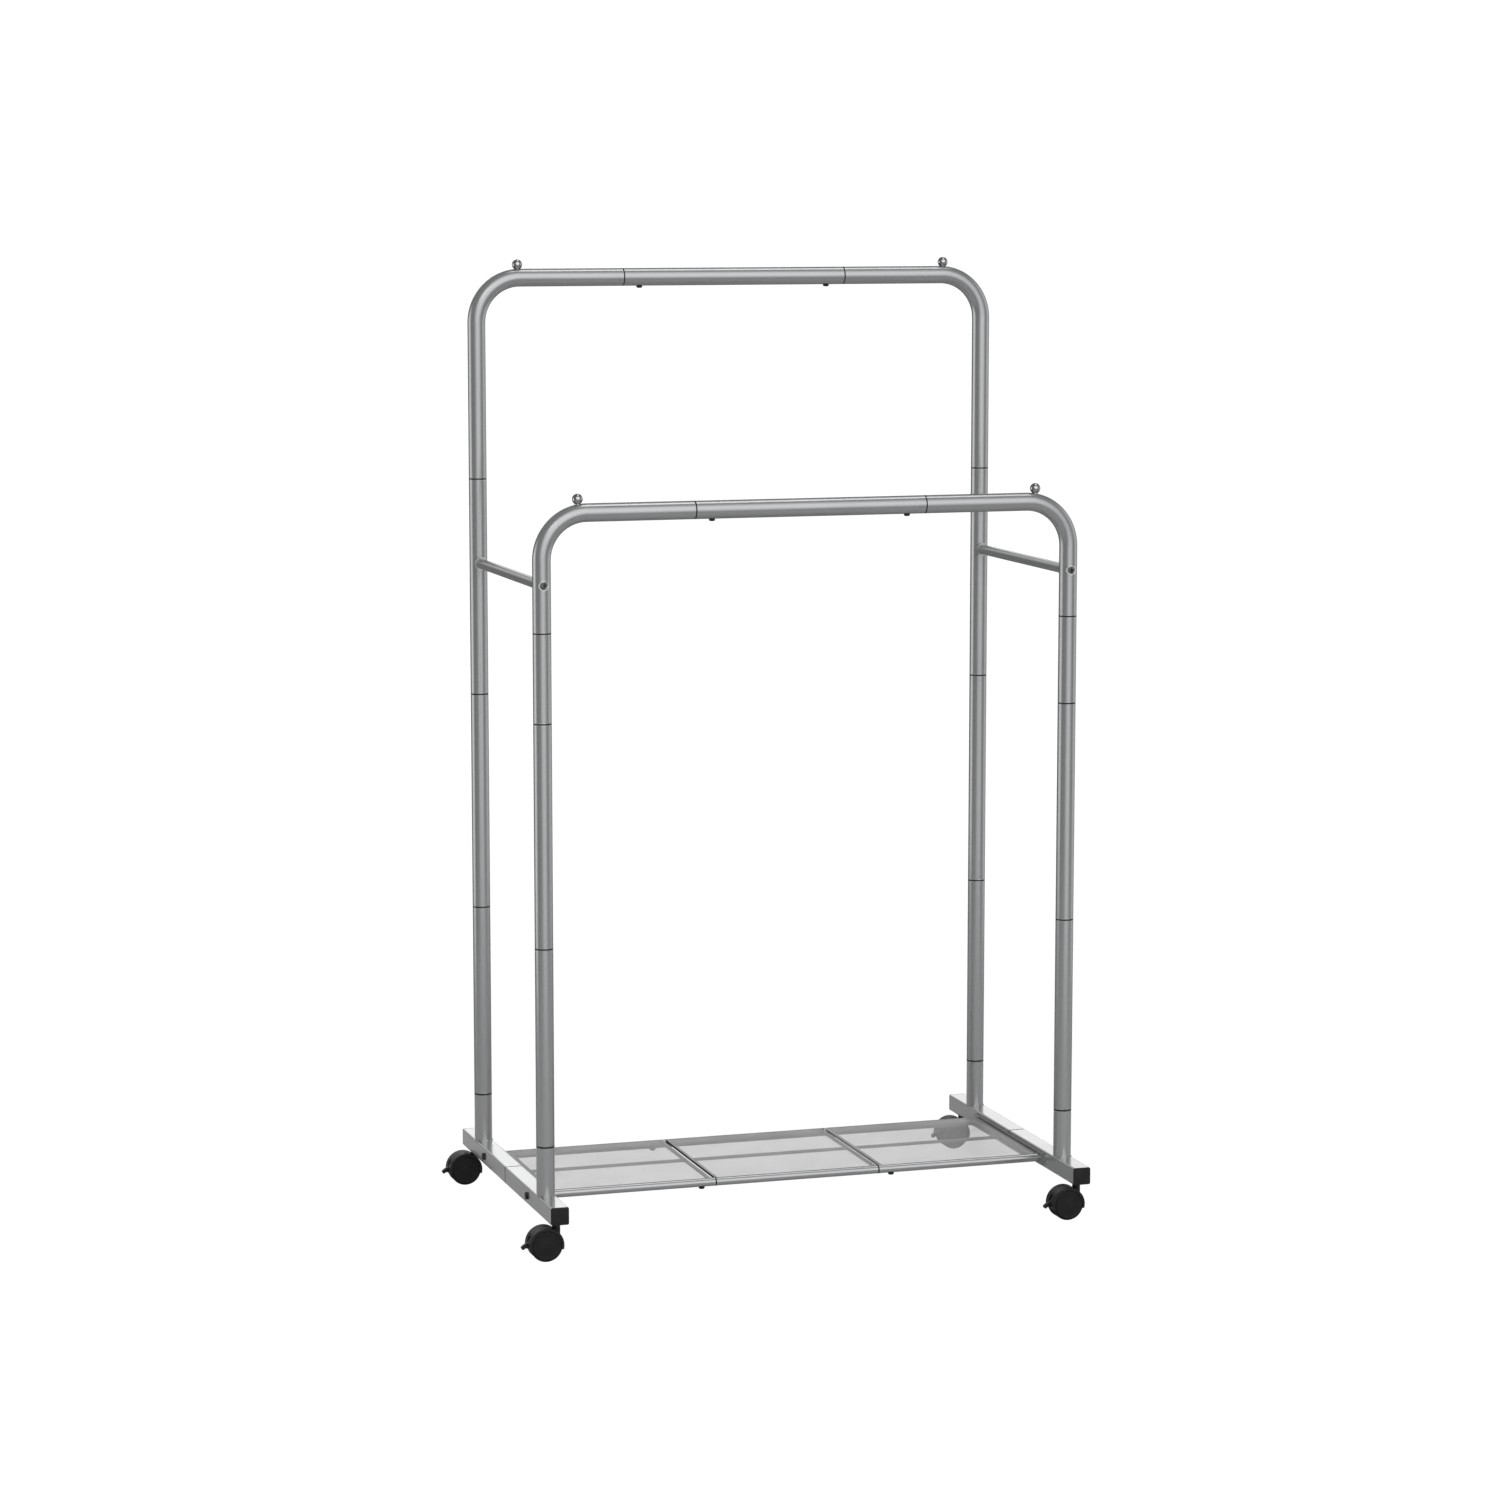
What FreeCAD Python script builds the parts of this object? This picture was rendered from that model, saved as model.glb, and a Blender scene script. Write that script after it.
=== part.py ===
import FreeCAD, Part
import math
import operator
import os
import Sketcher

from FreeCAD import Rotation, Vector

# A rolling clothes rack: two tubular U frames of different heights stand on two square base beams,
# joined by tie rods and a mesh shelf, on four swivelling twin-wheel casters with brakes.
# +X runs along the rails, +Y points from the low rail to the high rail, +Z is up.
# The origin is on the floor, midway between the four uprights.

doc = FreeCAD.newDocument("clothes_rack")
sheet = doc.addObject("Spreadsheet::Sheet", "dims")

dimensions = {
    # round frame tube
    "tubeDiameter": 28, "tubeWall": 0.9, "plugDiameter": 26, "plugLength": 40, "plugNeck": 3,
    "endRounding": 0.5, "jointGap": 0.5,
    # room left round screws and bolts, and round pieces that slide together
    "screwRoom": 0.2, "boltRoom": 0.4, "slideRoom": 0.2, "neckRoom": 0.1,
    # spacing of the uprights, centre to centre
    "frameWidth": 844, "frameDepth": 390,
    # base beams, each of two halves
    "beamWidth": 28, "beamHeight": 27, "beamWall": 1.4, "beamCorner": 2.5, "halfLength": 277.5,
    "beamTop": 85, "innerCorner": 1.2, "sleeveLength": 150, "sleeveCorner": 1.1,
    "capThickness": 2.5, "capDepth": 12, "capWall": 2,
    # uprights, from the base beam upwards
    "stubHeight": 76.5, "lowerPost": 304.5, "middlePost": 342, "upperPost": 341, "shortPost": 136,
    # hanging rails
    "rearRail": 1463, "frontRail": 1123, "bendRadius": 70, "barLength": 368, "barScrewInset": 28,
    # tie rods between the frames
    "tieDiameter": 16, "tieHeight": 1016, "tieCollar": 21.5, "tieCollarDepth": 3.5, "tieInsert": 25,
    "tieThread": 6, "tieHeadDiameter": 12, "tieHeadLength": 10, "tieAccess": 13.6, "tieSocket": 6,
    "tieSocketDepth": 5, "tieHeadInset": 0.8, "tieTipRoom": 2,
    # ball finials
    "ballDiameter": 16, "ballLift": 20.4, "neckDiameter": 8.8, "rearFinialSpan": 711,
    "frontFinialSpan": 732, "neckBury": 1.6,
    # mesh shelf in three panels
    "railDiameter": 13, "railWall": 1.2, "railPlug": 10.4, "railSpan": 272, "railDrop": 14,
    "shelfSeam": 134, "endPlate": 4, "endPlateHeight": 19, "endPlateLength": 300,
    "crossWire": 6, "centreWire": 5, "wireBury": 4.5, "outerWireSpan": 283, "innerWireSpan": 261,
    "endRail": 12.4, "endRailGap": 1.5, "meshThickness": 1,
    "shelfScrewSpan": 310, "railInsert": 30, "wireTuck": 3, "meshOverhang": 1, "meshInset": 2,
    # pan-head screws and button-head bolts
    "screwHead": 9.6, "screwHeadHeight": 3.5, "screwShank": 4, "screwLength": 9,
    "boltHead": 11.4, "boltHeadHeight": 2.6, "boltShank": 6, "boltLength": 56,
    "boltSocket": 4, "boltSocketFloor": 0.8,
    # casters
    "casterSpan": 511, "casterTrail": 18, "wheelDiameter": 50, "casterWidth": 33, "wheelGap": 10.6,
    "hoodDiameter": 54, "hoodWall": 1.3, "hoodWidth": 32, "webWidth": 9.4, "axleDiameter": 5,
    "axleLength": 30, "stemDiameter": 7, "threadDiameter": 8, "nutWidth": 13, "nutHeight": 6.5,
    "leverWidth": 6.2, "runningGap": 0.05,
    "stemFoot": 39.5, "stemRoom": 0.4, "flangeDiameter": 11, "flangeHeight": 1.8, "threadLength": 15,
    "skirtRise": 6.5, "hoodLip": 1.6, "hoodMouth": 45.8, "hoodRounding": 1.2, "hoodWeld": 0.4,
    "bossDiameter": 12.5, "bossFoot": 40, "bossTop": 55.8,
    "slotLength": 25, "slotHeight": 26.6, "slotBack": 38.5, "slotFoot": 12.8, "slotRoom": 0.6,
    "pivotBack": 34, "pivotHeight": 31.3, "pivotPin": 3,
    "nibBack": 33.1, "nibHeight": 36.3, "nibDiameter": 2.4, "nibLength": 15.2,
    "nibPocket": 5.6, "nibPocketWidth": 12, "nibPocketBack": 33.6, "nibPocketHeight": 36.4,
    "hubRadius": 5.5, "webDepth": 12.5, "dishRadius": 21.5, "faceRadius": 22.2, "rimBevel": 0.8,
}

for row, (alias, number) in enumerate(dimensions.items(), start=1):
    cell = "B%d" % row
    sheet.set("A%d" % row, alias)
    sheet.set(cell, str(number))
    sheet.setAlias(cell, alias)
doc.recompute()


class Size:
    """A length that carries its number and the spreadsheet expression that drives it."""

    def __init__(self, value, text):
        self.value = value
        self.text = text

    def __add__(self, other):
        return combined(self, "+", other)

    def __radd__(self, other):
        return combined(other, "+", self)

    def __sub__(self, other):
        return combined(self, "-", other)

    def __rsub__(self, other):
        return combined(other, "-", self)

    def __mul__(self, other):
        return combined(self, "*", other)

    def __rmul__(self, other):
        return combined(other, "*", self)

    def __truediv__(self, other):
        return combined(self, "/", other)

    def __neg__(self):
        return combined(0, "-", self)


OPERATORS = {"+": operator.add, "-": operator.sub, "*": operator.mul, "/": operator.truediv}


def as_size(length):
    """Wrap a plain number, so that it can be combined with a Size."""
    if isinstance(length, Size):
        return length
    return Size(length, "%r" % float(length))


def combined(left, sign, right):
    left = as_size(left)
    right = as_size(right)
    value = OPERATORS[sign](left.value, right.value)
    return Size(value, "(%s %s %s)" % (left.text, sign, right.text))


def dim(alias):
    return Size(dimensions[alias], "dims." + alias)


def bind(obj, prop, length):
    obj.setExpression(prop, as_size(length).text)


def locate(obj, x=0, y=0, z=0, rotation=None):
    """Place an object at bound coordinates, turned by a fixed rotation."""
    if rotation is not None:
        obj.Placement = FreeCAD.Placement(Vector(0, 0, 0), rotation)
    for axis, length in zip("xyz", (x, y, z)):
        bind(obj, "Placement.Base." + axis, length)
    return obj


# ---- directions: each turns +Z, the axis of a cylinder, onto the named axis
ALONG_X = Rotation(Vector(0, 1, 0), 90)
ALONG_Y = Rotation(Vector(1, 0, 0), -90)

names = {}


def fresh(stem):
    """A document name that hasn't been used yet."""
    names[stem] = names.get(stem, 0) + 1
    return "%s_%d" % (stem, names[stem])


def cylinder(diameter, height, x=0, y=0, z=0, rotation=None):
    obj = doc.addObject("Part::Cylinder", fresh("cylinder"))
    bind(obj, "Radius", as_size(diameter) / 2)
    bind(obj, "Height", height)
    return locate(obj, x, y, z, rotation)


def box(length, width, height, x=0, y=0, z=0):
    obj = doc.addObject("Part::Box", fresh("box"))
    bind(obj, "Length", length)
    bind(obj, "Width", width)
    bind(obj, "Height", height)
    return locate(obj, x, y, z)


def centred_box(length, width, height, x=0, y=0, z=0):
    """A box that is centred on x and y and stands on z."""
    return box(length, width, height, x - as_size(length) / 2, y - as_size(width) / 2, z)


def ball(diameter, x=0, y=0, z=0):
    obj = doc.addObject("Part::Sphere", fresh("ball"))
    bind(obj, "Radius", as_size(diameter) / 2)
    return locate(obj, x, y, z)


def fuse(shapes):
    obj = doc.addObject("Part::MultiFuse", fresh("fuse"))
    obj.Shapes = shapes
    return obj


def cut(base, tools):
    """Take one tool, or several joined ones, away from the base."""
    obj = doc.addObject("Part::Cut", fresh("cut"))
    obj.Base = base
    obj.Tool = tools[0] if len(tools) == 1 else fuse(tools)
    return obj


def group(shapes):
    """Separate solids that share one node."""
    obj = doc.addObject("Part::Compound", fresh("group"))
    obj.Links = shapes
    return obj


def hexagon(width, height, x, y, z, rotation=None):
    """A hexagonal prism, measured across its flats."""
    obj = doc.addObject("Part::Prism", fresh("hexagon"))
    obj.Polygon = 6
    bind(obj, "Circumradius", as_size(width) / (2 * math.cos(math.radians(30))))
    bind(obj, "Height", height)
    return locate(obj, x, y, z, rotation)


def rounded(base, edges_wanted, radius):
    """Fillet the edges of the base that edges_wanted picks."""
    doc.recompute()
    chosen = [i for i, edge in enumerate(base.Shape.Edges, start=1) if edges_wanted(edge)]
    obj = doc.addObject("Part::Fillet", fresh("fillet"))
    obj.Base = base
    obj.Edges = [(index, radius, radius) for index in chosen]
    return obj


subparts = []


def subpart(obj, label):
    obj.Label = label
    subparts.append(obj)
    return obj


# ---- sketches
def origin_plane(body, role):
    for feature in body.Origin.OriginFeatures:
        if feature.Role == role:
            return feature


def new_sketch(body, role, name):
    sketch = body.newObject("Sketcher::SketchObject", fresh(name))
    sketch.AttachmentSupport = [(origin_plane(body, role), "")]
    sketch.MapMode = "FlatFace"
    return sketch


def pin_point(sketch, index, point, x, y):
    """Fix one point of the sketch's geometry at bound coordinates."""
    for kind, axis, length in (("DistanceX", -2, x), ("DistanceY", -1, y)):
        length = as_size(length)
        if length.value == 0:
            sketch.addConstraint(Sketcher.Constraint("PointOnObject", index, point, axis))
            continue
        name = "%s%d" % (kind[-1].lower(), len(sketch.Constraints))
        number = sketch.addConstraint(Sketcher.Constraint(kind, -1, 1, index, point, length.value))
        sketch.renameConstraint(number, name)
        sketch.setExpression("Constraints." + name, length.text)


def outline(sketch, corners):
    """A closed polygon whose corners are bound to the spreadsheet."""
    points = [Vector(as_size(x).value, as_size(y).value, 0) for x, y in corners]
    count = len(points)
    for i in range(count):
        sketch.addGeometry(Part.LineSegment(points[i], points[(i + 1) % count]), False)
    for i in range(count):
        sketch.addConstraint(Sketcher.Constraint("Coincident", i, 2, (i + 1) % count, 1))
        pin_point(sketch, i, 1, corners[i][0], corners[i][1])


def turned(corners, label):
    """A body revolved about its own Z axis; corners are (radius, height)."""
    body = doc.addObject("PartDesign::Body", fresh("turned"))
    sketch = new_sketch(body, "XZ_Plane", "half_section")
    outline(sketch, corners)
    revolution = body.newObject("PartDesign::Revolution", fresh("revolution"))
    revolution.Profile = sketch
    revolution.ReferenceAxis = (sketch, ["V_Axis"])
    revolution.Angle = 360
    body.Label = label
    return body


def extruded(corners, width, label):
    """A body cut to an outline in the XZ plane and spread evenly to both sides of it."""
    body = doc.addObject("PartDesign::Body", fresh("plate"))
    sketch = new_sketch(body, "XZ_Plane", "side_outline")
    outline(sketch, corners)
    pad = body.newObject("PartDesign::Pad", fresh("pad"))
    pad.Profile = sketch
    pad.Midplane = True
    bind(pad, "Length", width)
    body.Label = label
    return body


# ---- shared sizes
tube = dim("tubeDiameter")
bore = tube - 2 * dim("tubeWall")
plug = dim("plugDiameter")
plug_bore = plug - 2 * dim("tubeWall")
half_width = dim("frameWidth") / 2
half_depth = dim("frameDepth") / 2
post_foot = dim("beamTop") + dim("stubHeight")
middle_foot = post_foot + dim("lowerPost")
upper_foot = middle_foot + dim("middlePost")
rear_leg_foot = upper_foot + dim("upperPost")
front_leg_foot = upper_foot + dim("shortPost")
SIDES = (("left", -1), ("right", 1))
ENDS = (("front", -1), ("rear", 1))
FRAMES = {
    "rear": {"y": 1, "rail": dim("rearRail"), "leg": rear_leg_foot, "finial": dim("rearFinialSpan")},
    "front": {"y": -1, "rail": dim("frontRail"), "leg": front_leg_foot,
              "finial": dim("frontFinialSpan")},
}


def swaged_post(label, length, x, y, z):
    """A straight tube whose narrowed lower end plugs into the tube below."""
    outer = tube / 2
    edge = dim("endRounding")
    post = turned([
        (plug_bore / 2, -dim("plugLength")),
        (plug / 2 - edge, -dim("plugLength")),
        (plug / 2, edge - dim("plugLength")),
        (plug / 2, 0),
        (outer - edge, 0),
        (outer, edge),
        (outer, length - edge),
        (outer - edge, length),
        (bore / 2, length),
        (bore / 2, dim("plugNeck")),
        (plug_bore / 2, dim("plugNeck")),
    ], label)
    return locate(post, x, y, z)


def tie_holes(frame, x):
    """Access hole and bolt hole through an upright, where a tie rod is bolted on."""
    y = half_depth * frame["y"]
    outside = frame["y"]
    access = cylinder(dim("tieAccess"), tube, x, y if outside > 0 else y - tube, dim("tieHeight"),
                      ALONG_Y)
    bolt = cylinder(dim("tieThread") + dim("boltRoom"), tube, x, y - tube if outside > 0 else y,
                    dim("tieHeight"), ALONG_Y)
    return [access, bolt]


def build_posts():
    """Straight uprights, four levels at the rear and three at the front."""
    for side, sign in SIDES:
        x = half_width * sign
        for name, frame in FRAMES.items():
            y = half_depth * frame["y"]
            subpart(swaged_post("%s_lower_post_%s" % (name, side), dim("lowerPost"), x, y, post_foot),
                    "%s_lower_post_%s" % (name, side))
            subpart(swaged_post("%s_middle_post_%s" % (name, side), dim("middlePost"), x, y,
                                middle_foot), "%s_middle_post_%s" % (name, side))
        short = swaged_post("short", dim("shortPost"), x, -half_depth, upper_foot)
        subpart(short, "front_short_post_%s" % side)
        upper = swaged_post("upper", dim("upperPost"), x, half_depth, upper_foot)
        subpart(cut(upper, tie_holes(FRAMES["rear"], x)), "rear_upper_post_%s" % side)


def bent_rod(diameter, frame, side, overrun):
    """A solid rod along a corner's path; overrun lengthens its two straight ends."""
    radius = dim("bendRadius")
    rail = frame["rail"]
    y = half_depth * frame["y"]
    corner_x = half_width * side
    bend_x = corner_x - radius * side
    foot = frame["leg"] - overrun
    leg = cylinder(diameter, rail - radius - foot, corner_x, y, foot)
    bend = doc.addObject("Part::Torus", fresh("bend"))
    bind(bend, "Radius1", radius)
    bind(bend, "Radius2", as_size(diameter) / 2)
    bend.Angle3 = 90
    turn = Rotation(Vector(1, 0, 0), 90)
    if side < 0:
        turn = Rotation(Vector(0, 0, 1), 180) * turn
    locate(bend, bend_x, y, rail - radius, turn)
    run = half_width - radius - dim("barLength") / 2 + overrun
    start = bend_x if side < 0 else dim("barLength") / 2 - overrun
    arm = cylinder(diameter, run, start, y, rail, ALONG_X)
    return [leg, bend, arm]


def build_corner(name, frame, side_name, side):
    """A bent corner tube with a narrowed plug at each end."""
    y = half_depth * frame["y"]
    x = half_width * side
    length = dim("plugLength")
    seam = dim("barLength") / 2 * side
    plug_start = seam - length if side > 0 else seam
    solid = fuse(bent_rod(tube, frame, side, 0)
                 + [cylinder(plug, length, x, y, frame["leg"] - length),
                    cylinder(plug, length, plug_start, y, frame["rail"], ALONG_X)])
    corner = cut(solid, [fuse(bent_rod(plug_bore, frame, side, length + 1))])
    finial_x = frame["finial"] / 2 * side
    screw_x = (dim("barLength") / 2 - dim("barScrewInset")) * side
    holes = [cylinder(dim("neckDiameter") + dim("neckRoom"), tube, finial_x, y, frame["rail"]),
             cylinder(dim("screwShank") + dim("screwRoom"), tube, screw_x, y, frame["rail"] - tube)]
    if name == "front":
        holes += tie_holes(frame, x)
    subpart(cut(corner, holes), "%s_corner_%s" % (name, side_name))


def build_rail_bar(name, frame):
    """The straight middle of a hanging rail, open at both ends for the corners' plugs."""
    half = dim("barLength") / 2
    edge = dim("endRounding")
    bar = turned([
        (bore / 2, -half),
        (tube / 2 - edge, -half),
        (tube / 2, edge - half),
        (tube / 2, half - edge),
        (tube / 2 - edge, half),
        (bore / 2, half),
    ], "bar")
    y = half_depth * frame["y"]
    locate(bar, 0, y, frame["rail"], ALONG_X)
    screw_x = half - dim("barScrewInset")
    holes = [cylinder(dim("screwShank") + dim("screwRoom"), tube, screw_x * side, y,
                      frame["rail"] - tube) for _, side in SIDES]
    subpart(cut(bar, holes), "%s_rail_bar" % name)


def build_finials():
    """Polished balls that keep hangers off the bends, each on a neck set into the tube."""
    finials = []
    for frame in FRAMES.values():
        for _, side in SIDES:
            x = frame["finial"] / 2 * side
            y = half_depth * frame["y"]
            z = frame["rail"]
            neck_foot = tube / 2 - dim("neckBury")
            neck = cylinder(dim("neckDiameter"), dim("ballLift") - neck_foot, x, y, z + neck_foot)
            stud = cylinder(dim("screwShank"), tube / 2, x, y, z)
            finials.append(fuse([ball(dim("ballDiameter"), x, y, z + dim("ballLift")), neck, stud]))
    subpart(group(finials), "rail_finials")


def build_tie_rod(side_name, side):
    """A tube between the two frames; its collared ends are coped to hug the uprights."""
    x = half_width * side
    z = dim("tieHeight")
    length = dim("frameDepth")
    rod = cylinder(dim("tieDiameter"), length, x, -half_depth, z, ALONG_Y)
    collar_depth = tube / 2 + dim("tieCollarDepth")
    collars = [cylinder(dim("tieCollar"), collar_depth, x, -half_depth, z, ALONG_Y),
               cylinder(dim("tieCollar"), collar_depth, x, half_depth - collar_depth, z, ALONG_Y)]
    insert = tube / 2 + dim("tieInsert")
    tools = [cylinder(dim("tieDiameter") - 2 * dim("tubeWall"), length - 2 * insert, x,
                      insert - half_depth, z, ALONG_Y)]
    tools.append(cylinder(dim("tieThread"), insert + 1, x, -half_depth, z, ALONG_Y))
    tools.append(cylinder(dim("tieThread"), insert + 1, x, half_depth - insert - 1, z, ALONG_Y))
    for _, end in ENDS:
        tools.append(cylinder(tube, 2 * dim("tieCollar"), x, half_depth * end,
                              z - dim("tieCollar")))
    subpart(cut(fuse([rod] + collars), tools), "tie_rod_%s" % side_name)


def build_tie_bolts():
    """Socket-head bolts that sit inside the uprights and clamp the tie rods."""
    bolts = []
    z = dim("tieHeight")
    head_start = tube / 2 - dim("tieHeadInset")
    for _, end in ENDS:
        for _, side in SIDES:
            x = half_width * side
            y = half_depth * end
            face = y + head_start * end
            head_y = face if end < 0 else face - dim("tieHeadLength")
            shank = (head_start - dim("tieHeadLength") + tube / 2 + dim("tieInsert")
                     - dim("tieTipRoom"))
            shank_y = face + dim("tieHeadLength") if end < 0 else face - dim("tieHeadLength") - shank
            head = cylinder(dim("tieHeadDiameter"), dim("tieHeadLength"), x, head_y, z, ALONG_Y)
            body = cylinder(dim("tieThread"), shank, x, shank_y, z, ALONG_Y)
            socket_y = face if end < 0 else face - dim("tieSocketDepth")
            socket = hexagon(dim("tieSocket"), dim("tieSocketDepth"), x, socket_y, z, ALONG_Y)
            bolts.append(cut(fuse([head, body]), [socket]))
    subpart(group(bolts), "tie_rod_bolts")


def square_bar(width, height, length, corner, x, y, z):
    """A square bar along Y with rounded long edges, centred on x and z."""
    bar = box(width, length, height, x - as_size(width) / 2, y, z - as_size(height) / 2)
    return rounded(bar, along_y, corner)


def along_y(edge):
    first, last = edge.Vertexes[0].Point, edge.Vertexes[-1].Point
    return abs(first.x - last.x) < 1e-6 and abs(first.z - last.z) < 1e-6


beam_middle = dim("beamTop") - dim("beamHeight") / 2
inner_width = dim("beamWidth") - 2 * dim("beamWall")
inner_height = dim("beamHeight") - 2 * dim("beamWall")
rail_height = dim("beamTop") - dim("railDrop")
caster_y = dim("casterSpan") / 2


def build_beam_half(end_name, end, side_name, side):
    """Half of a base beam: a square tube with the stub of an upright welded on top."""
    x = half_width * side
    gap = dim("jointGap") / 2
    length = dim("halfLength") - gap
    start = gap if end > 0 else -dim("halfLength")
    outside = square_bar(dim("beamWidth"), dim("beamHeight"), length, dimensions["beamCorner"], x,
                         start, beam_middle)
    inside = square_bar(inner_width, inner_height, length, dimensions["innerCorner"], x, start,
                        beam_middle)
    y = half_depth * end
    stub = cylinder(tube, dim("stubHeight") + dim("beamWall"), x, y,
                    dim("beamTop") - dim("beamWall"))
    stub_bore = cylinder(bore, dim("stubHeight"), x, y, dim("beamTop"))
    bolt_hole = cylinder(dim("boltShank") + dim("boltRoom"), 2 * dim("beamWidth"), x - dim("beamWidth"),
                         dim("railSpan") / 2 * end, rail_height, ALONG_X)
    stem_hole = cylinder(dim("threadDiameter") + dim("boltRoom"), dim("beamHeight"), x, caster_y * end,
                         dim("beamTop") - dim("beamHeight") * 1.5)
    shell = cut(outside, [inside])
    subpart(cut(fuse([shell, stub]), [stub_bore, bolt_hole, stem_hole]),
            "base_beam_%s_%s" % (end_name, side_name))


def build_beam_sleeve(side_name, side):
    """The inner square sleeve that lines up and joins the two halves of a base beam."""
    x = half_width * side
    length = dim("sleeveLength")
    wall = dim("beamWall")
    width = inner_width - dim("slideRoom")
    height = inner_height - dim("slideRoom")
    outside = square_bar(width, height, length, dimensions["sleeveCorner"], x, -length / 2,
                         beam_middle)
    inside = box(width - 2 * wall, length, height - 2 * wall, x - width / 2 + wall, -length / 2,
                 beam_middle - height / 2 + wall)
    subpart(cut(outside, [inside]), "beam_sleeve_%s" % side_name)


def build_end_caps():
    """Plastic caps pushed into the four open ends of the base beams."""
    caps = []
    for _, end in ENDS:
        for _, side in SIDES:
            x = half_width * side
            thickness = dim("capThickness")
            depth = dim("capDepth")
            face_y = dim("halfLength") if end > 0 else -dim("halfLength") - thickness
            plug_y = dim("halfLength") - depth if end > 0 else -dim("halfLength")
            face = square_bar(dim("beamWidth"), dim("beamHeight"), thickness,
                              dimensions["beamCorner"], x, face_y, beam_middle)
            insert = square_bar(inner_width, inner_height, depth, dimensions["innerCorner"], x,
                                plug_y, beam_middle)
            wall = dim("capWall")
            pocket = box(inner_width - 2 * wall, depth, inner_height - 2 * wall,
                         x - inner_width / 2 + wall, plug_y, beam_middle - inner_height / 2 + wall)
            caps.append(fuse([face, cut(insert, [pocket])]))
    subpart(group(caps), "beam_end_caps")


inner_face = half_width - dim("beamWidth") / 2
plate_face = inner_face - dim("endPlate")
rail = dim("railDiameter")
rail_bore = rail - 2 * dim("railWall")
seam = dim("shelfSeam")
wire_height = rail_height + rail / 2 - dim("crossWire") / 2
rail_y = dim("railSpan") / 2
wire_length = dim("railSpan") - rail + 2 * dim("wireBury")


def cross_wire(x):
    """A stiffening wire under the mesh; its ends are welded into the two rails."""
    return cylinder(dim("crossWire"), wire_length, x, -wire_length / 2, wire_height, ALONG_Y)


def shelf_screw_hole(x, y):
    return cylinder(dim("screwShank") + dim("screwRoom"), rail / 2, x, y, rail_height - rail / 2 - 1)


def build_outer_shelf_frame(side_name, side):
    """An end panel's frame: two rails, an end rail, a bolted plate and two stiffening wires."""
    length = plate_face - seam
    start = seam if side > 0 else -plate_face
    insert_x = plate_face - dim("railInsert") if side > 0 else -plate_face
    bolt_x = insert_x - 1 if side > 0 else insert_x - dim("endPlate") - 1
    plate_x = plate_face if side > 0 else -inner_face
    end_rail = dim("endRail")
    end_rail_x = (plate_face - end_rail / 2 - dim("endRailGap")) * side
    wire_x = dim("outerWireSpan") / 2 * side
    centre_length = (plate_face - dim("endRailGap") - end_rail + dim("wireTuck")
                     - dim("outerWireSpan") / 2)
    centre_start = wire_x if side > 0 else wire_x - centre_length
    solids = [box(dim("endPlate"), dim("endPlateLength"), dim("endPlateHeight"), plate_x,
                  -dim("endPlateLength") / 2, rail_height - dim("endPlateHeight") / 2),
              cylinder(end_rail, dim("railSpan"), end_rail_x, -rail_y, rail_height, ALONG_Y),
              cylinder(dim("centreWire"), centre_length, centre_start, 0, wire_height, ALONG_X),
              cross_wire(wire_x)]
    bores = [cylinder(end_rail - 2 * dim("railWall"), dim("railSpan") - 2 * rail, end_rail_x,
                      rail - rail_y, rail_height, ALONG_Y)]
    for _, end in ENDS:
        y = rail_y * end
        solids.append(cylinder(rail, length, start, y, rail_height, ALONG_X))
        open_start = seam if side > 0 else -plate_face + dim("railInsert")
        bores.append(cylinder(rail_bore, length - dim("railInsert"), open_start, y, rail_height,
                              ALONG_X))
        bores.append(cylinder(dim("boltShank"), dim("railInsert") + dim("endPlate") + 2, bolt_x, y,
                              rail_height, ALONG_X))
        bores.append(shelf_screw_hole(dim("shelfScrewSpan") / 2 * side, y))
    subpart(cut(fuse(solids), bores), "shelf_frame_%s" % side_name)


def build_middle_shelf_frame():
    """The middle panel's frame; its rails narrow to plugs that slide into the end panels' rails."""
    reach = seam + dim("railInsert")
    half = seam - dim("jointGap")
    solids = []
    tools = []
    for _, end in ENDS:
        y = rail_y * end
        solids.append(cylinder(rail, 2 * half, -half, y, rail_height, ALONG_X))
        solids.append(cylinder(dim("railPlug"), 2 * reach, -reach, y, rail_height, ALONG_X))
        tools.append(cylinder(dim("railPlug") - 2 * dim("railWall"), 2 * reach, -reach, y,
                              rail_height, ALONG_X))
        for _, side in SIDES:
            tools.append(shelf_screw_hole(dim("shelfScrewSpan") / 2 * side, y))
    for _, side in SIDES:
        solids.append(cross_wire(dim("innerWireSpan") / 2 * side))
    solids.append(cylinder(dim("centreWire"), dim("innerWireSpan"), -dim("innerWireSpan") / 2, 0,
                           wire_height, ALONG_X))
    subpart(cut(fuse(solids), tools), "shelf_frame_middle")


def build_shelf_meshes():
    """Mesh sheets, held as thin plates, that lie on the shelf rails."""
    edge = dim("meshOverhang")
    depth = dim("railSpan") + 2 * edge
    top = rail_height + rail / 2
    outer_start = dim("outerWireSpan") / 2 - edge
    outer_length = plate_face - dim("meshInset") - outer_start
    inner = dim("innerWireSpan") + 2 * edge
    spans = (("left", -outer_start - outer_length, outer_length),
             ("middle", -inner / 2, inner),
             ("right", outer_start, outer_length))
    for name, start, length in spans:
        subpart(box(length, depth, dim("meshThickness"), start, -depth / 2, top),
                "shelf_mesh_%s" % name)


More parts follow.
